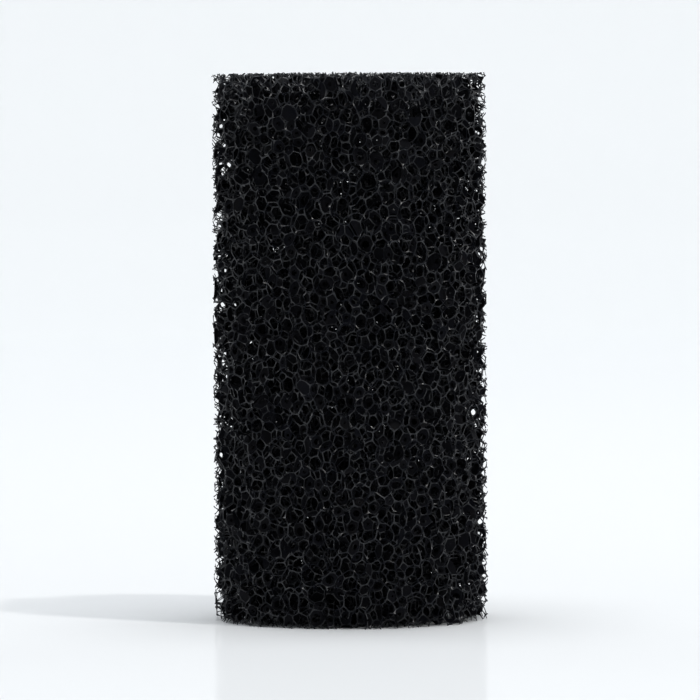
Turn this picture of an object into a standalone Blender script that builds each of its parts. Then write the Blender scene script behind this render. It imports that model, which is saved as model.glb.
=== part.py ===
"""Sponge filter: an upright cylinder of coarse open-cell foam with a round bore for a filter's intake
tube, and a short foam plug that closes the lower end of the bore.

Units are metres and +Z is up. The origin is the middle of the base, on the axis of the bore.
"""

import bpy
import bmesh
from mathutils import Matrix

# Driving dimensions
SPONGE_DIAMETER = 0.050
SPONGE_HEIGHT = 0.1015
BORE_DIAMETER = 0.013
PLUG_LENGTH = 0.030
FIT_GAP = 0.0003  # all round the plug, where the real foam is pressed against foam

# How finely the round shapes are drawn
SLEEVE_STEPS = 96
PLUG_STEPS = 64

MERGE_DISTANCE = 0.00001
FULL_TURN = 6.283185307179586

# Colour, roughness and metallic value of the foam
FOAM_BLACK = (0.012, 0.013, 0.016, 1.0)
FOAM_ROUGHNESS = 0.6


def clear_scene():
    """Empties the scene that the script starts in."""
    for item in list(bpy.data.objects):
        bpy.data.objects.remove(item, do_unlink=True)


def new_collection(name):
    """A collection for the parts, linked to the scene."""
    made = bpy.data.collections.new(name)
    bpy.context.scene.collection.children.link(made)
    return made


def foam_material(name):
    """Matt black polyurethane foam."""
    material = bpy.data.materials.new(name)
    material.use_nodes = True
    shader = material.node_tree.nodes["Principled BSDF"]
    shader.inputs["Base Color"].default_value = FOAM_BLACK
    shader.inputs["Roughness"].default_value = FOAM_ROUGHNESS
    shader.inputs["Metallic"].default_value = 0.0
    return material


def shade_round(mesh):
    """Smooth sides with sharp rims."""
    mesh.shade_smooth()
    mesh.set_sharp_from_angle(angle=0.6)


def add_sleeve(collection):
    """The sponge's body: a rectangle, from the bore to the outside, turned about the axis."""
    bore, outside = BORE_DIAMETER / 2, SPONGE_DIAMETER / 2
    profile = [
        (bore, 0.0, SPONGE_HEIGHT),
        (outside, 0.0, SPONGE_HEIGHT),
        (outside, 0.0, 0.0),
        (bore, 0.0, 0.0),
    ]
    sides = [(0, 1), (1, 2), (2, 3), (3, 0)]
    mesh = bpy.data.meshes.new("foam_sleeve")
    mesh.from_pydata(profile, sides, [])

    sleeve = bpy.data.objects.new("foam_sleeve", mesh)
    collection.objects.link(sleeve)
    turn = sleeve.modifiers.new("turn", "SCREW")
    turn.axis = "Z"
    turn.angle = FULL_TURN
    turn.screw_offset = 0.0
    turn.steps = SLEEVE_STEPS
    turn.render_steps = SLEEVE_STEPS
    turn.use_merge_vertices = True
    turn.merge_threshold = MERGE_DISTANCE
    turn.use_smooth_shade = False
    sleeve.data.materials.append(foam_material("sleeve_foam"))
    return sleeve


def add_plug(collection):
    """The round plug, flush with the base, that fills the lower end of the bore."""
    form = bmesh.new()
    bmesh.ops.create_cone(
        form,
        cap_ends=True,
        segments=PLUG_STEPS,
        radius1=BORE_DIAMETER / 2 - FIT_GAP,
        radius2=BORE_DIAMETER / 2 - FIT_GAP,
        depth=PLUG_LENGTH,
        matrix=Matrix.Translation((0.0, 0.0, PLUG_LENGTH / 2)),
    )
    mesh = bpy.data.meshes.new("end_plug")
    form.to_mesh(mesh)
    form.free()
    shade_round(mesh)

    plug = bpy.data.objects.new("end_plug", mesh)
    collection.objects.link(plug)
    plug.data.materials.append(foam_material("plug_foam"))
    return plug


def main():
    """Builds the sponge and the plug, each with its origin on the axis that the plug slides along."""
    clear_scene()
    sponge_filter = new_collection("sponge_filter")
    add_sleeve(sponge_filter)
    add_plug(sponge_filter)


main()
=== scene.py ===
"""Looks of the sponge filter: its open-cell foam, the black polyurethane of it, and a plain studio.

The foam is one random network of struts. Cells of even size are spread through the sponge's space, and
struts run where three neighbouring cells meet. The sleeve and the plug are both cut from that network,
as the real ones are cut from one block, so their cells line up across the cut.
"""

from itertools import combinations

import bpy
import numpy as np
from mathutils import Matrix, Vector


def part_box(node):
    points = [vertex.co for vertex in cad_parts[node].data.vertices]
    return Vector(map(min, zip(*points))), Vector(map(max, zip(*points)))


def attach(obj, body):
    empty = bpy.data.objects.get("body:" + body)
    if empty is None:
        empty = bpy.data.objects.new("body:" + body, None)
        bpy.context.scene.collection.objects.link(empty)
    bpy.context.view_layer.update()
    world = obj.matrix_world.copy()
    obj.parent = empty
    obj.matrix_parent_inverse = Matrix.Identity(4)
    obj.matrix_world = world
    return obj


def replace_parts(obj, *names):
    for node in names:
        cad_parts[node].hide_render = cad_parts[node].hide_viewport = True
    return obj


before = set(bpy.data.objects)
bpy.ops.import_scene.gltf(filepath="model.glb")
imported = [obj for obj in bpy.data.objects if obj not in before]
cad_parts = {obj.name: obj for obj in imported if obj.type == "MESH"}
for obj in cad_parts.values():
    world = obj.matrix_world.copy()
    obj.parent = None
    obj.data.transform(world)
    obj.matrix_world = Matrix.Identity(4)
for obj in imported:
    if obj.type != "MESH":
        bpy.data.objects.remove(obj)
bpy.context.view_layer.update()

# The sponge, in metres, from its CAD solids
SLEEVE_LOW, SLEEVE_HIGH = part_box("foam_sleeve")
PLUG_LOW, PLUG_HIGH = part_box("end_plug")
SPONGE_RADIUS = (SLEEVE_HIGH[0] - SLEEVE_LOW[0]) / 2
SPONGE_HEIGHT = SLEEVE_HIGH[2] - SLEEVE_LOW[2]
PLUG_RADIUS = (PLUG_HIGH[0] - PLUG_LOW[0]) / 2
PLUG_HEIGHT = PLUG_HIGH[2]
FIT_GAP = 0.0003  # between the plug and the bore
BORE_RADIUS = PLUG_RADIUS + FIT_GAP

# The foam's cells
SEED = 4
CELL = 0.0034  # side of the cube that holds two cells, across the sponge
STRETCH = 1.25  # how much longer the cells are up the sponge, the way that the foam rose
SURROUND = 1.5 * CELL  # cells are laid this far past the sponge, so that those at its faces are whole
SHAKE = 0.5  # how far a cell starts from an even lattice, in cubes
SPREAD_REACH = 1.25 * CELL  # how far apart two cells still push each other
SPREAD_PUSH = 0.25 * SPREAD_REACH
SPREAD_ROUNDS = 9
TINY = 1e-12  # keeps a division from having nothing to divide by
NEAR_CELLS = 25  # neighbours that may share a corner with a cell
NEAR_REACH = 2.1 * CELL  # all of them are closer than this
EASE_ROUNDS = 3
EASE_SHARE = 0.5  # how far a corner moves each round, of the way to the middle of its neighbours
RUN_POINTS = 600  # how many points, or cells, are compared with their neighbours at a time
RUN_CELLS = 400

# The foam's struts
NODE_REACH = 0.00016  # how far the thick joint of four struts runs along each of them
NODE_SPREAD = 0.12  # how much that varies, as a share
SHORT_SHARE = 0.45  # the most of a short strut that the joint at one end takes
THIN_RADIUS = 0.00009  # at the middle of a long strut
FAT_RADIUS = 0.00014  # at the middle of a very short one
SHORT_STRUT = 0.0005  # about as short as a very short one is
THIN_SPREAD = 0.15  # how much the middle's radius varies, as a share
BOW = 0.05  # sideways bend of a strut, as a share of its length

# The films left across some windows, a window being the face that two cells share
CLOSED_SHARE = 0.05  # of the windows near the sponge's faces
HOLED_SHARE = 0.38
TORN_SHARE = 0.12  # of the windows that a cut face crosses, which keep part of a film
INNER_CLOSED = 0.03  # of the windows deeper in
INNER_HOLED = 0.12
HOLE_SMALL = 0.3  # radius of a hole, as a share of the most that fits its window
HOLE_LARGE = 0.9
FILM_HALF = 0.00001  # half of a film's thickness at its middle
LEAST_ROOM = 0.0002  # radius of the smallest window, once inside its struts
FILM_SAG = 0.08  # how far a film stands out, as a share of its window's radius

# The cut faces
SIDE_PROUD = 0.0005  # how far strut ends stand past the round of the nominal size
SIDE_RAGGED = 0.00015  # how much that varies, either way
END_PROUD = 0.0002  # the same at the top
END_RAGGED = 0.00012
SKIN = 0.006  # foam deeper than this has straight struts
WELL_INSIDE = 0.9 * CELL  # corners this deep are surely part of a piece
HELD_ROUNDS = 12
CUT_LOW, CUT_HIGH = 0.04, 0.96  # a strut is cut between these shares of the way between two rings
CUT_ROUNDS = 12
SHARP_ANGLE = 1.15  # edges that turn more than this are not smoothed, in radians
BANDS = 11  # the sleeve's foam is one mesh for each

# The foam's finishes, and for each the two colours and the two roughnesses that it varies between
STRUT, FILM = 0, 1
STRUT_DARK = (0.0085, 0.0098, 0.0140, 1)
STRUT_LIGHT = (0.0150, 0.0165, 0.0210, 1)
STRUT_SMOOTH = 0.24
STRUT_ROUGH = 0.5
STRUT_SHINE = 0.5
FILM_DARK = (0.0060, 0.0070, 0.0114, 1)
FILM_LIGHT = (0.0114, 0.0106, 0.0102, 1)
FILM_SMOOTH = 0.30
FILM_ROUGH = 0.45
FILM_SHINE = 0.01
TONE_SCALE = 260.0  # one over the size of the clouds of colour, in metres
ROUGH_SCALE = 700.0
ROUGH_FROM, ROUGH_TO = 0.3, 0.7
GRAIN_SCALE = 9000.0
GRAIN_DEPTH = 0.00002
GRAIN = 0.25  # how strongly the grain shows

# The studio
CARD = (0.881, 0.90, 0.915, 1)
CARD_ROUGH = 0.08
CARD_GLOSS = 0.12
CARD_HALF_WIDTH = 2.5
CARD_BACK = 1.2  # where the card starts to curve up
CARD_BEND = 0.5
CARD_TOP = 3.0
SEEN_SKY = (0.91, 0.955, 0.97, 1)  # beyond the card
SOFT_SKY = (0.93, 0.97, 1.0, 1)
WORLD = 0.2
KEY = 4.3
KEY_SIZE = 0.05
KEY_PLACE = (0.49, -0.37, 1.26)
OVERHEAD = 18.1
OVERHEAD_SIZE = 1.2
OVERHEAD_PLACE = (0, 0.05, 1.6)
CARD_FRONT = -0.3
GLOW = 0.485
GLOW_FROM = 0.1  # metres from the sponge
GLOW_TO = 2.6
GLOW_COLOUR = (0.955, 0.985, 1.0, 1)
CAMERA_DISTANCE = 1.35
EYE_ABOVE_TOP = 0.012
FIELD = 0.1304  # width seen at the sponge
AIM_LOWER = 0.0006
ROLL = 0.0045  # a quarter of a degree

# Of a corner where four cells meet: its six webs, each between two of the cells
PAIRS = np.array(list(combinations(range(4), 2)))
PAIR_AT = np.zeros((4, 4), int)
PAIR_AT[PAIRS[:, 0], PAIRS[:, 1]] = np.arange(6)
PAIR_AT[PAIRS[:, 1], PAIRS[:, 0]] = np.arange(6)
# Each row is an even shuffle of the four, so it keeps the corner's handedness
SHUFFLES = np.array([(0, 1, 2, 3), (1, 0, 3, 2), (2, 0, 1, 3), (3, 0, 2, 1)])
NODE_FACES = np.array([[PAIR_AT[i, j], PAIR_AT[i, m], PAIR_AT[i, k]] for i, j, k, m in SHUFFLES])
RINGS = np.array([[PAIR_AT[a, b], PAIR_AT[b, c], PAIR_AT[c, a]] for _, a, b, c in SHUFFLES])


def shaken_lattice(radius, low, high, random):
    """Cells in a round column: the corners and the middles of stacked cubes, each moved at random by
    up to SHAKE of a cube along each axis."""
    half = int(np.ceil(radius / CELL)) + 1
    tall = int(np.ceil((high - low) / CELL)) + 1
    side = np.arange(-half, half + 1)
    corner = np.stack(np.meshgrid(side, side, np.arange(tall + 1), indexing="ij"), axis=-1)
    corner = corner.reshape(-1, 3).astype(float)
    cells = np.concatenate([corner, corner + 0.5])
    cells += random.uniform(-SHAKE, SHAKE, cells.shape)
    cells *= CELL
    cells[:, 2] += low
    across = np.hypot(cells[:, 0], cells[:, 1])
    return cells[(across < radius) & (cells[:, 2] > low) & (cells[:, 2] < high)]


def slabs(points, reach, size=RUN_POINTS):
    """Runs of points by height, each with all the points that may be within reach of its own."""
    order = np.argsort(points[:, 2], kind="stable")
    height = points[order, 2]
    for start in range(0, len(order), size):
        own = order[start : start + size]
        first = np.searchsorted(height, height[start] - reach)
        last = np.searchsorted(height, height[min(start + size, len(order)) - 1] + reach)
        yield own, order[first:last]


def distances_squared(these, those):
    """Every distance between two sets of points, squared: a.a + b.b - 2 a.b."""
    total = (these * these).sum(1)[:, None] + (those * those).sum(1)[None] - 2 * these @ those.T
    return np.maximum(total, 0)


def spread_evenly(cells, radius, low, high):
    """Cells pushed apart for a few rounds. Each neighbour within SPREAD_REACH pushes straight away,
    with the square of how far it is inside that reach."""
    for _ in range(SPREAD_ROUNDS):
        moved = cells.copy()
        for own, near in slabs(cells, SPREAD_REACH):
            apart = np.sqrt(distances_squared(cells[own], cells[near])) + TINY
            push = np.clip(1 - apart / SPREAD_REACH, 0, None) ** 2 / apart
            push[own[:, None] == near[None]] = 0
            away = push.sum(1)[:, None] * cells[own] - push @ cells[near]
            moved[own] += SPREAD_PUSH * away
        across = np.hypot(moved[:, 0], moved[:, 1])
        moved[:, :2] *= np.minimum(1, radius / np.maximum(across, 1e-9))[:, None]
        moved[:, 2] = np.clip(moved[:, 2], low, high)
        cells = moved
    return cells


def nearest_cells(cells):
    """For each cell, the NEAR_CELLS others nearest to it."""
    table = np.zeros((len(cells), NEAR_CELLS), int)
    for own, near in slabs(cells, NEAR_REACH):
        apart = distances_squared(cells[own], cells[near])
        apart[own[:, None] == near[None]] = np.inf
        table[own] = near[np.argpartition(apart, NEAR_CELLS, axis=1)[:, :NEAR_CELLS]]
    return table


def meeting_corners(cells, near):
    """The points where four cells meet, with the four cells of each.

    A corner is the centre of a sphere through four cells that holds no other cell. With one cell as
    the origin and the others at a, b and c, the centre is (|a|^2 b x c + |b|^2 c x a + |c|^2 a x b) /
    (2 a . b x c), and another cell n is outside where n . centre < |n|^2 / 2.
    """
    trio = np.array(list(combinations(range(NEAR_CELLS), 3)))
    fours, places = [], []
    for start in range(0, len(cells), RUN_CELLS):
        own = np.arange(start, min(start + RUN_CELLS, len(cells)))
        others = near[own]
        later = others > own[:, None]
        which, row = np.nonzero(later[:, trio[:, 0]] & later[:, trio[:, 1]] & later[:, trio[:, 2]])
        away = cells[others] - cells[own][:, None]
        half = (away * away).sum(-1) / 2
        a, b, c = (away[which, trio[row, n]] for n in range(3))
        bc, ca, ab = np.cross(b, c), np.cross(c, a), np.cross(a, b)
        volume = (a * bc).sum(1)
        volume[np.abs(volume) < 1e-18] = 1e-18
        lengths = [half[which, trio[row, n]][:, None] for n in range(3)]
        centre = (lengths[0] * bc + lengths[1] * ca + lengths[2] * ab) / volume[:, None]
        small = (centre * centre).sum(1) < CELL**2
        which, row, centre, volume = which[small], row[small], centre[small], volume[small]
        inside = np.einsum("ij,ikj->ik", centre, away[which]) - half[which]
        count = np.arange(len(which))
        for n in range(3):
            inside[count, trio[row, n]] = -1
        empty = (inside < 1e-15).all(1)
        which, row, centre, volume = which[empty], row[empty], centre[empty], volume[empty]
        four = np.stack([own[which]] + [others[which, trio[row, n]] for n in range(3)], axis=1)
        four[volume < 0] = four[volume < 0][:, [0, 1, 3, 2]]
        fours.append(four)
        places.append(centre + cells[own[which]])
    return np.concatenate(fours), np.concatenate(places)


def strut_ends(fours, cell_count):
    """The struts, as (corner, the one of its four cells that the strut leads away from) at each end.
    Two corners that share three cells are joined by a strut."""
    key, corner, away = [], [], []
    for lead in range(4):
        shared = np.sort(np.delete(fours, lead, axis=1), axis=1).astype(np.int64)
        key.append((shared[:, 0] * cell_count + shared[:, 1]) * cell_count + shared[:, 2])
        corner.append(np.arange(len(fours)))
        away.append(np.full(len(fours), lead))
    key, corner, away = np.concatenate(key), np.concatenate(corner), np.concatenate(away)
    order = np.argsort(key, kind="stable")
    ranked = key[order]
    same = ranked[1:] == ranked[:-1]
    same[1:] &= ~same[:-1]
    first, second = order[:-1][same], order[1:][same]
    return corner[first], away[first], corner[second], away[second]


def ease(places, start, end):
    """Corners moved part of the way to the middle of those that they are joined to, a few times, which
    evens out the struts and their angles as surface tension does."""
    count = np.bincount(np.concatenate([start, end]), minlength=len(places))
    for _ in range(EASE_ROUNDS):
        total = np.zeros_like(places)
        for axis in range(3):
            total[:, axis] = np.bincount(start, places[end, axis], len(places))
            total[:, axis] += np.bincount(end, places[start, axis], len(places))
        middle = total / np.maximum(count, 1)[:, None]
        whole = count == 4
        places[whole] += EASE_SHARE * (middle[whole] - places[whole])
    return places


def unit(vectors):
    """Vectors of length one."""
    return vectors / np.maximum(np.linalg.norm(vectors, axis=-1, keepdims=True), TINY)


def sleeve_depth(points, side_slack, end_slack):
    """How far points are inside the sleeve's faces, each moved out by its slack."""
    across = np.hypot(points[..., 0], points[..., 1])
    outside = SPONGE_RADIUS + SIDE_PROUD + side_slack - across
    bore = across - BORE_RADIUS + 0.5 * side_slack
    top = SPONGE_HEIGHT + END_PROUD + end_slack - points[..., 2]
    return np.minimum(np.minimum(outside, bore), np.minimum(top, points[..., 2]))


def plug_depth(points, side_slack, end_slack):
    """How far points are inside the plug's faces, each moved out by its slack."""
    outside = PLUG_RADIUS + 0.5 * side_slack - np.hypot(points[..., 0], points[..., 1])
    top = PLUG_HEIGHT + end_slack - points[..., 2]
    return np.minimum(outside, np.minimum(top, points[..., 2]))


def buried(points):
    """Which points are well inside the sponge's round and ends, where only the openings show them."""
    depth = np.minimum(points[:, 2], SPONGE_HEIGHT - points[:, 2])
    return np.minimum(depth, SPONGE_RADIUS - np.hypot(points[:, 0], points[:, 1])) > SKIN


class Network:
    """The whole network: its corners, its struts, and the points that its surface is built on."""

    def __init__(self, random):
        radius, low = SPONGE_RADIUS + SURROUND, -SURROUND
        high = SPONGE_HEIGHT / STRETCH + SURROUND
        cells = spread_evenly(shaken_lattice(radius, low, high, random), radius, low, high)
        fours, places = meeting_corners(cells, nearest_cells(cells))
        start, start_lead, end, end_lead = strut_ends(fours, len(cells))
        self.corners = ease(places, start, end) * (1, 1, STRETCH)
        self.start, self.end = start, end
        self.start_lead, self.end_lead = start_lead, end_lead
        count = len(places)

        # How far each joint runs along each of its four struts, and which way
        along = self.corners[end] - self.corners[start]
        length = np.linalg.norm(along, axis=1)
        reach = NODE_REACH * random.uniform(1 - NODE_SPREAD, 1 + NODE_SPREAD, count)
        arms = np.zeros((count, 4, 3))
        for corner, lead, sign in ((start, start_lead, 1), (end, end_lead, -1)):
            run = np.minimum(reach[corner], SHORT_SHARE * length)
            arms[corner, lead] = sign * unit(along) * run[:, None]
        # A web lies between two cells, so between the two struts that lead away from the other two
        other = PAIRS[::-1]
        webs = self.corners[:, None] + arms[:, other[:, 0]] + arms[:, other[:, 1]]

        # The ring of three webs at each end of a strut, matched by the cells that they lie between
        pair = PAIRS[RINGS[start_lead]]
        pair_cells = np.take_along_axis(fours[start][:, None], pair, axis=2)
        at_end = (fours[end][:, None, None] == pair_cells[..., None]).argmax(-1)
        self.start_ring = start[:, None] * 6 + RINGS[start_lead]
        self.end_ring = end[:, None] * 6 + PAIR_AT[at_end[..., 0], at_end[..., 1]]

        # The waist of each strut: three points round its middle, on the same webs
        middle = (self.corners[start] + self.corners[end]) / 2
        axis = unit(along)
        flat = webs.reshape(-1, 3)
        outward = flat[self.start_ring] + flat[self.end_ring] - 2 * middle[:, None]
        outward -= (outward * axis[:, None]).sum(-1, keepdims=True) * axis[:, None]
        thick = THIN_RADIUS * random.uniform(1 - THIN_SPREAD, 1 + THIN_SPREAD, len(start))
        thick += (FAT_RADIUS - thick) * np.exp(-((length / SHORT_STRUT) ** 2))
        bow = unit(np.cross(axis, random.normal(size=axis.shape))) * (BOW * length)[:, None]
        waist = middle[:, None] + bow[:, None] + unit(outward) * thick[:, None, None]

        self.points = np.concatenate([flat, waist.reshape(-1, 3), self.corners])
        self.waist = len(flat) + np.arange(len(start) * 3).reshape(-1, 3)
        self.add_films(fours, cells, middle, random)

    def add_films(self, fours, cells, middle, random):
        """The films of the chosen windows, as triangles and quads of points, each with its window.

        Every web lies on one window, and every strut runs along three. A film's rim is the ring of
        corners round its window, inside the struts. Its two skins part towards the middle, where they
        meet the middle's two points, or a round hole whose points lie towards each corner and towards
        each strut. Which films are torn where a piece is cut is chosen here too, and made with the
        piece.
        """
        pair = np.sort(fours[:, PAIRS].reshape(-1, 2), axis=1).astype(np.int64)
        _, first, window, self.sides = np.unique(
            pair[:, 0] * len(cells) + pair[:, 1],
            return_index=True,
            return_inverse=True,
            return_counts=True,
        )
        self.window = window
        count = len(first)
        facing = unit((cells[pair[first, 1]] - cells[pair[first, 0]]) / (1, 1, STRETCH))
        corner_of = np.repeat(np.arange(len(fours)), 6)
        centre = np.stack(
            [np.bincount(window, self.corners[corner_of, axis], count) for axis in range(3)], axis=1
        )
        centre /= self.sides[:, None]
        self.window_height = centre[:, 2]

        # Each side of a window: its strut, and the corners at its ends, in order about the facing
        side = window[self.start_ring].ravel()
        strut = np.repeat(np.arange(len(self.start)), 3)
        start_web, end_web = self.start_ring.ravel(), self.end_ring.ravel()
        turn = np.cross(
            self.corners[self.start[strut]] - centre[side], self.corners[self.end[strut]] - centre[side]
        )
        back = (turn * facing[side]).sum(1) < 0
        one = np.where(back, end_web, start_web)
        two = np.where(back, start_web, end_web)
        half_way = middle[strut] - centre[side]
        room = np.full(count, CELL)
        np.minimum.at(room, side, np.linalg.norm(half_way, axis=1) - THIN_RADIUS)
        radius = np.maximum(room, LEAST_ROOM) * random.uniform(HOLE_SMALL, HOLE_LARGE, count)
        sag = FILM_SAG * random.normal(size=count) * room

        draw = random.uniform(size=count)
        inner = buried(centre)
        closed_share = np.where(inner, INNER_CLOSED, CLOSED_SHARE)
        holed_share = np.where(inner, INNER_HOLED, HOLED_SHARE)
        closed = draw < closed_share
        holed = ~closed & (draw < closed_share + holed_share)
        self.torn = draw < TORN_SHARE
        first_corner = len(self.points) - len(self.corners)
        rim_one, rim_two = first_corner + one // 6, first_corner + two // 6
        self.film_sides = np.stack([rim_one, rim_two, one, two, side])

        # Points: each window's middle, then the hole's towards every web and every side of a window
        total = len(self.points)
        lift = facing * FILM_HALF
        new = []

        def add(places, of):
            nonlocal total
            new.extend((places + lift[of], places - lift[of]))
            upper = total + np.arange(len(places))
            total += 2 * len(places)
            return upper, upper + len(places)

        upper, lower = add(centre + facing * sag[:, None], np.arange(count))
        self.film_middles = upper, lower
        brim = centre + facing * (sag * (1 - radius / np.maximum(room, LEAST_ROOM)))[:, None]
        to_web = unit(self.corners[corner_of] - centre[window])
        upper_web, lower_web = add(brim[window] + to_web * radius[window][:, None], window)
        upper_side, lower_side = add(brim[side] + unit(half_way) * radius[side][:, None], side)
        self.points = np.concatenate([self.points] + new)

        pick = np.nonzero(closed[side])[0]
        a, b, at = rim_one[pick], rim_two[pick], side[pick]
        triangles = [(a, b, upper[at], at), (b, a, lower[at], at)]
        pick = np.nonzero(holed[side])[0]
        a, b, at = rim_one[pick], rim_two[pick], side[pick]
        for web, mid, order in ((upper_web, upper_side, 1), (lower_web, lower_side, -1)):
            by_a, by_b, between = web[one[pick]], web[two[pick]], mid[pick]
            for face in ((a, b, between), (a, between, by_a), (b, by_b, between)):
                triangles.append((*face[::order], at))
        self.film_triangles = np.concatenate([np.stack(t, axis=1) for t in triangles])
        above = upper_web[one[pick]], upper_side[pick], upper_web[two[pick]]
        below = lower_web[one[pick]], lower_side[pick], lower_web[two[pick]]
        quads = [(above[n], above[n + 1], below[n + 1], below[n], at) for n in range(2)]
        self.film_quads = np.concatenate([np.stack(q, axis=1) for q in quads])


def held_corners(network, depth, random):
    """Which corners belong to a piece cut from the network: those inside it that hang together.
    Starting from the ones well inside, each round adds the inside corners joined to them."""
    count = len(network.corners)
    side = random.uniform(-SIDE_RAGGED, SIDE_RAGGED, count)
    end = random.uniform(-END_RAGGED, END_RAGGED, count)
    inside = depth(network.corners, side, end) > 0.5 * NODE_REACH
    held = depth(network.corners, 0, 0) > WELL_INSIDE
    for _ in range(HELD_ROUNDS):
        joined = np.bincount(network.start, held[network.end], count)
        joined += np.bincount(network.end, held[network.start], count)
        held = inside & (held | (joined > 0))
    return held


def crossing(start, end, depth, side, finish):
    """Where lines from start to end reach the cut face, found by halving, CUT_ROUNDS times."""
    low, high = np.full(len(start), CUT_LOW), np.full(len(start), CUT_HIGH)
    for _ in range(CUT_ROUNDS):
        share = (low + high) / 2
        inside = depth(start + share[:, None] * (end - start), side, finish) > 0
        low, high = np.where(inside, share, low), np.where(inside, high, share)
    return start + ((low + high) / 2)[:, None] * (end - start)


def tube_faces(first, last, turned):
    """The three sides of each strut between two rings of three points, facing out. turned says that
    the struts run against the rings' own sense."""
    after = [1, 2, 0]
    faces = np.stack([first, first[:, after], last[:, after], last], axis=-1)
    return faces[..., ::-1] if turned else faces


def cap_faces(ring, turned):
    """The flat end of each strut, facing away from it."""
    return ring[:, ::-1] if turned else ring


def foam_piece(network, depth, held, straight, band, name, random):
    """The meshes of a piece of foam, one for each band. The struts between two of the straight corners
    have no waist."""
    points = [network.points]
    total = len(network.points)
    start, end = network.start, network.end
    added = {3: [], 4: []}  # triangles and quads, each with its band and its finish

    def add(faces, bands, finish=STRUT):
        count = faces.shape[-1]
        faces = faces.reshape(-1, count)
        if len(faces):
            bands = np.repeat(bands, len(faces) // len(bands))
            added[count].append(np.column_stack([faces, bands, np.full(len(faces), finish)]))

    both = held[start] & held[end]
    split = both & (band[start] != band[end])
    prism = both & ~split & straight[start] & straight[end]
    waisted = both & ~prism
    add(tube_faces(network.start_ring[prism], network.end_ring[prism], False), band[start[prism]])

    for ring, far, corner, other, turned in (
        (network.start_ring, network.end_ring, start, end, False),
        (network.end_ring, network.start_ring, end, start, True),
    ):
        add(tube_faces(ring[waisted], network.waist[waisted], turned), band[corner[waisted]])
        add(cap_faces(network.waist[split], turned), band[corner[split]])

        # Struts that run out of the piece, cut off where they reach its face
        cut = np.nonzero(held[corner] & ~held[other])[0]
        side = random.uniform(-SIDE_RAGGED, SIDE_RAGGED, len(cut))
        finish = random.uniform(-END_RAGGED, END_RAGGED, len(cut))
        past = depth(network.points[network.waist[cut]].mean(1), side, finish) > 0
        inner = np.where(past[:, None], network.waist[cut], ring[cut])
        outer = np.where(past[:, None], far[cut], network.waist[cut])
        tips = crossing(
            network.points[inner].reshape(-1, 3),
            network.points[outer].reshape(-1, 3),
            depth,
            np.repeat(side, 3),
            np.repeat(finish, 3),
        )
        tips[:, 2] = np.maximum(tips[:, 2], 0)
        tip = total + np.arange(len(cut) * 3).reshape(-1, 3)
        total += len(cut) * 3
        points.append(tips)
        reached = cut[past]
        add(tube_faces(ring[reached], network.waist[reached], turned), band[corner[reached]])
        add(tube_faces(inner, tip, turned), band[corner[cut]])
        add(cap_faces(tip, turned), band[corner[cut]])

    # The four faces of each joint that look into its four cells
    own = np.nonzero(held)[0]
    add(own[:, None, None] * 6 + NODE_FACES[None], band[own])
    # A corner that misses a strut is closed there
    met = np.zeros((len(network.corners), 4), bool)
    met[start, network.start_lead] = True
    met[end, network.end_lead] = True
    corner, lead = np.nonzero(held[:, None] & ~met)
    add(corner[:, None] * 6 + RINGS[lead], band[corner])

    # Films of the windows that the piece has the whole frame of
    windows = len(network.sides)
    webs_held = np.bincount(network.window, np.repeat(held, 6), windows)
    struts_held = np.bincount(network.window[network.start_ring[both]].ravel(), minlength=windows)
    framed = (webs_held == network.sides) & (struts_held == network.sides)
    window_band = band_at(network.window_height) if band.max() else np.zeros(windows, int)
    for films in (network.film_triangles, network.film_quads):
        own = films[framed[films[:, -1]]]
        add(own[:, :-1], window_band[own[:, -1]], FILM)

    # Films of the windows that the piece's faces cut, torn off along lines from the middle to the last
    # whole struts. A sliver closes each torn edge.
    upper, lower = network.film_middles
    torn = network.torn & ~framed & (depth(network.points[upper], 0, 0) > 0)
    kept = torn[network.film_sides[4]] & np.repeat(both, 3)
    a, b, one, two, at = network.film_sides[:, kept]
    upper, lower = upper[at], lower[at]
    first, last = ~np.isin(one, two), ~np.isin(two, one)
    for faces, which in (
        ((a, b, upper), slice(None)),
        ((b, a, lower), slice(None)),
        ((a, upper, lower), first),
        ((b, lower, upper), last),
    ):
        add(np.stack(faces, axis=1)[which], window_band[at[which]], FILM)

    points = np.concatenate(points)
    points[:, 2] = np.maximum(points[:, 2], 0)
    triangles, quads = np.concatenate(added[3]), np.concatenate(added[4])
    return [
        foam_mesh(
            f"{name}_{level + 1}" if band.max() else name,
            points,
            quads[quads[:, 4] == level],
            triangles[triangles[:, 3] == level],
        )
        for level in range(band.max() + 1)
    ]


def foam_mesh(name, points, quads, triangles):
    """A mesh of the given faces and of the points that they use."""
    corners = np.concatenate([quads[:, :4].ravel(), triangles[:, :3].ravel()])
    used, corner = np.unique(corners, return_inverse=True)
    mesh = bpy.data.meshes.new(name)
    mesh.vertices.add(len(used))
    mesh.vertices.foreach_set("co", points[used].ravel())
    mesh.loops.add(len(corner))
    mesh.loops.foreach_set("vertex_index", corner.ravel())
    sizes = np.concatenate([np.full(len(quads), 4), np.full(len(triangles), 3)])
    mesh.polygons.add(len(sizes))
    mesh.polygons.foreach_set("loop_start", np.cumsum(sizes) - sizes)
    mesh.polygons.foreach_set("material_index", np.concatenate([quads[:, 5], triangles[:, 4]]))
    mesh.update(calc_edges=True)
    mesh.shade_smooth()
    mesh.set_sharp_from_angle(angle=SHARP_ANGLE)
    mesh.validate()
    return mesh


def noise(tree, scale, detail):
    """A cloudy pattern, the size of which is one over its scale, in metres."""
    place = tree.nodes.new("ShaderNodeTexCoord")
    made = tree.nodes.new("ShaderNodeTexNoise")
    made.inputs["Scale"].default_value = scale
    made.inputs["Detail"].default_value = detail
    tree.links.new(place.outputs["Object"], made.inputs["Vector"])
    return made.outputs["Fac"]


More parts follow.
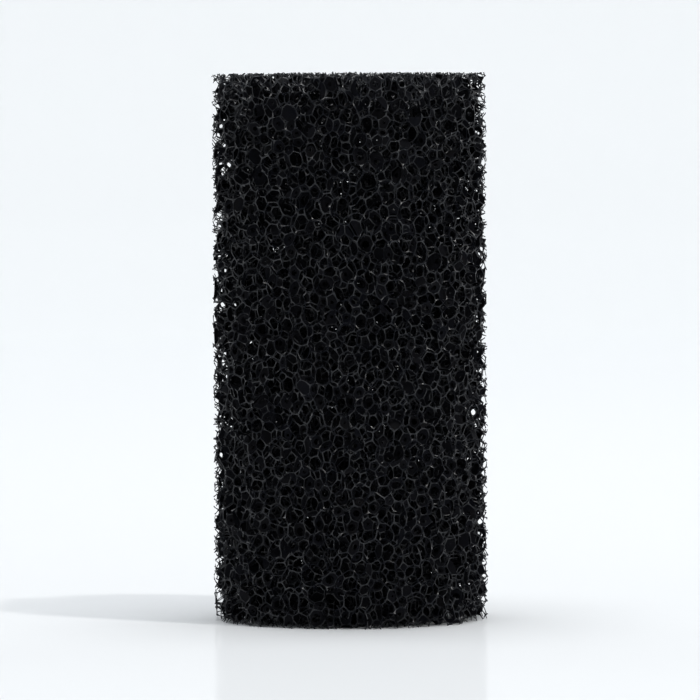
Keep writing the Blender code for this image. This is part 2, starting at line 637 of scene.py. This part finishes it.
def foam_finish(name, dark, light, smooth, rough, shine):
    """Black polyurethane: near black and slightly blue, cloudy in tone between two colours, its
    roughness cloudy between two values, and finely grained."""
    material = bpy.data.materials.new(name)
    material.use_nodes = True
    tree = material.node_tree
    shader = tree.nodes["Principled BSDF"]
    shader.inputs["Specular IOR Level"].default_value = shine

    tone = tree.nodes.new("ShaderNodeMix")
    tone.data_type = "RGBA"
    tone.inputs["A"].default_value = dark
    tone.inputs["B"].default_value = light
    tree.links.new(noise(tree, TONE_SCALE, 3.0), tone.inputs["Factor"])
    tree.links.new(tone.outputs["Result"], shader.inputs["Base Color"])

    matt = tree.nodes.new("ShaderNodeMapRange")
    matt.inputs["From Min"].default_value = ROUGH_FROM
    matt.inputs["From Max"].default_value = ROUGH_TO
    matt.inputs["To Min"].default_value = smooth
    matt.inputs["To Max"].default_value = rough
    tree.links.new(noise(tree, ROUGH_SCALE, 2.0), matt.inputs["Value"])
    tree.links.new(matt.outputs["Result"], shader.inputs["Roughness"])

    grain = tree.nodes.new("ShaderNodeBump")
    grain.inputs["Strength"].default_value = GRAIN
    grain.inputs["Distance"].default_value = GRAIN_DEPTH
    tree.links.new(noise(tree, GRAIN_SCALE, 2.0), grain.inputs["Height"])
    tree.links.new(grain.outputs["Normal"], shader.inputs["Normal"])
    return material


def foam_finishes(piece):
    """The finishes of a piece's struts and of its films, which are darker."""
    return (
        foam_finish(f"{piece} struts", STRUT_DARK, STRUT_LIGHT, STRUT_SMOOTH, STRUT_ROUGH, STRUT_SHINE),
        foam_finish(f"{piece} films", FILM_DARK, FILM_LIGHT, FILM_SMOOTH, FILM_ROUGH, FILM_SHINE),
    )


def band_at(heights):
    """The band of the sleeve that each height is in."""
    return np.clip((heights / SPONGE_HEIGHT * BANDS).astype(int), 0, BANDS - 1)


def add_foam():
    """The sleeve's foam in bands, and the plug's."""
    random = np.random.default_rng(SEED)
    network = Network(random)
    heights = network.corners[:, 2]

    held = held_corners(network, sleeve_depth, random)
    band = band_at(heights)
    finishes = foam_finishes("sleeve foam")
    straight = buried(network.corners)
    for mesh in foam_piece(network, sleeve_depth, held, straight, band, "sleeve_foam", random):
        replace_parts(add_piece(mesh, finishes, "sleeve"), "foam_sleeve")

    held = held_corners(network, plug_depth, random)
    band, none = np.zeros(len(heights), int), np.zeros(len(heights), bool)
    finishes = foam_finishes("plug foam")
    for mesh in foam_piece(network, plug_depth, held, none, band, "plug_foam", random):
        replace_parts(add_piece(mesh, finishes, "plug"), "end_plug")


def add_piece(mesh, finishes, body):
    """An object for a foam mesh, riding on its body."""
    piece = bpy.data.objects.new(mesh.name, mesh)
    bpy.context.scene.collection.objects.link(piece)
    for finish in finishes:
        mesh.materials.append(finish)
    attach(piece, body)
    return piece


def card_finish(name, colour, roughness, gloss):
    """White card with a little clear gloss over it, which glows more the further out it is."""
    material = bpy.data.materials.new(name)
    material.use_nodes = True
    tree = material.node_tree
    tree.nodes.clear()
    paint = tree.nodes.new("ShaderNodeBsdfDiffuse")
    paint.inputs["Color"].default_value = colour
    shine = tree.nodes.new("ShaderNodeBsdfGlossy")
    shine.inputs["Color"].default_value = (1, 1, 1, 1)
    shine.inputs["Roughness"].default_value = roughness
    blend = tree.nodes.new("ShaderNodeMixShader")
    blend.inputs["Fac"].default_value = gloss
    out = tree.nodes.new("ShaderNodeOutputMaterial")
    tree.links.new(paint.outputs["BSDF"], blend.inputs[1])
    tree.links.new(shine.outputs["BSDF"], blend.inputs[2])
    # Lit from below further out, where the lamps reach it less
    place = tree.nodes.new("ShaderNodeTexCoord")
    apart = tree.nodes.new("ShaderNodeVectorMath")
    apart.operation = "LENGTH"
    tree.links.new(place.outputs["Object"], apart.inputs[0])
    rise = tree.nodes.new("ShaderNodeMapRange")
    rise.inputs["From Min"].default_value = GLOW_FROM
    rise.inputs["From Max"].default_value = GLOW_TO
    rise.inputs["To Min"].default_value = 0.0
    rise.inputs["To Max"].default_value = GLOW
    tree.links.new(apart.outputs["Value"], rise.inputs["Value"])
    glow = tree.nodes.new("ShaderNodeEmission")
    glow.inputs["Color"].default_value = GLOW_COLOUR
    tree.links.new(rise.outputs["Result"], glow.inputs["Strength"])
    both = tree.nodes.new("ShaderNodeAddShader")
    tree.links.new(blend.outputs["Shader"], both.inputs[0])
    tree.links.new(glow.outputs["Emission"], both.inputs[1])
    tree.links.new(both.outputs["Shader"], out.inputs["Surface"])
    return material


def add_sweep():
    """The white surface that the sponge stands on, which curves up behind it: a flat run, a quarter
    turn and an upright run, carried across."""
    turn = np.linspace(0, np.pi / 2, 25)
    run = np.concatenate([[CARD_FRONT], CARD_BACK + CARD_BEND * np.sin(turn), [CARD_BACK + CARD_BEND]])
    rise = np.concatenate([[0.0], CARD_BEND * (1 - np.cos(turn)), [CARD_TOP]])
    side = np.array([-CARD_HALF_WIDTH, CARD_HALF_WIDTH])
    rows = np.stack(
        [np.broadcast_to(side[:, None], (2, len(run))), np.tile(run, (2, 1)), np.tile(rise, (2, 1))], axis=-1
    )
    count = len(run)
    first = np.arange(count - 1)
    faces = np.stack([first, first + count, first + count + 1, first + 1], axis=1)
    mesh = bpy.data.meshes.new("sweep")
    mesh.from_pydata(rows.reshape(-1, 3).tolist(), [], faces.tolist())
    mesh.shade_smooth()
    mesh.materials.append(card_finish("white card", CARD, CARD_ROUGH, CARD_GLOSS))
    sweep = bpy.data.objects.new("sweep", mesh)
    bpy.context.scene.collection.objects.link(sweep)


def aim(thing, at):
    """Turns a lamp or a camera to look at a point."""
    look = Vector(at) - thing.location
    thing.rotation_euler = look.to_track_quat("-Z", "Y").to_euler()


def add_lamp(name, place, at, size, power, colour):
    """A square soft lamp."""
    lamp = bpy.data.lights.new(name, "AREA")
    lamp.size = size
    lamp.energy = power
    lamp.color = colour
    thing = bpy.data.objects.new(name, lamp)
    thing.location = place
    bpy.context.scene.collection.objects.link(thing)
    aim(thing, at)
    return thing


def add_studio():
    """A high key lamp in front on the right, a wide lamp overhead, and the camera at the sponge's top."""
    world = bpy.data.worlds.new("studio")
    world.use_nodes = True
    tree = world.node_tree
    seen = tree.nodes["Background"]
    seen.inputs["Color"].default_value = SEEN_SKY
    given = tree.nodes.new("ShaderNodeBackground")
    given.inputs["Color"].default_value = SOFT_SKY
    given.inputs["Strength"].default_value = WORLD
    path = tree.nodes.new("ShaderNodeLightPath")
    choice = tree.nodes.new("ShaderNodeMixShader")
    tree.links.new(path.outputs["Is Camera Ray"], choice.inputs["Fac"])
    tree.links.new(given.outputs["Background"], choice.inputs[1])
    tree.links.new(seen.outputs["Background"], choice.inputs[2])
    tree.links.new(choice.outputs["Shader"], tree.nodes["World Output"].inputs["Surface"])
    bpy.context.scene.world = world
    middle = (0, 0, SPONGE_HEIGHT / 2)
    add_lamp("key", KEY_PLACE, middle, KEY_SIZE, KEY, (1.0, 0.98, 0.95))
    add_lamp("overhead", OVERHEAD_PLACE, middle, OVERHEAD_SIZE, OVERHEAD, (0.97, 0.98, 1.0))

    view = bpy.data.cameras.new("camera")
    view.sensor_width = 36
    view.lens = view.sensor_width * CAMERA_DISTANCE / FIELD
    camera = bpy.data.objects.new("camera", view)
    camera.location = (0, -CAMERA_DISTANCE, SPONGE_HEIGHT + EYE_ABOVE_TOP)
    bpy.context.scene.collection.objects.link(camera)
    aim(camera, (0, 0, SPONGE_HEIGHT / 2 - AIM_LOWER))
    camera.rotation_euler.rotate_axis("Z", -ROLL)
    bpy.context.scene.camera = camera
    bpy.context.scene.view_settings.view_transform = "Standard"


add_foam()
add_sweep()
add_studio()
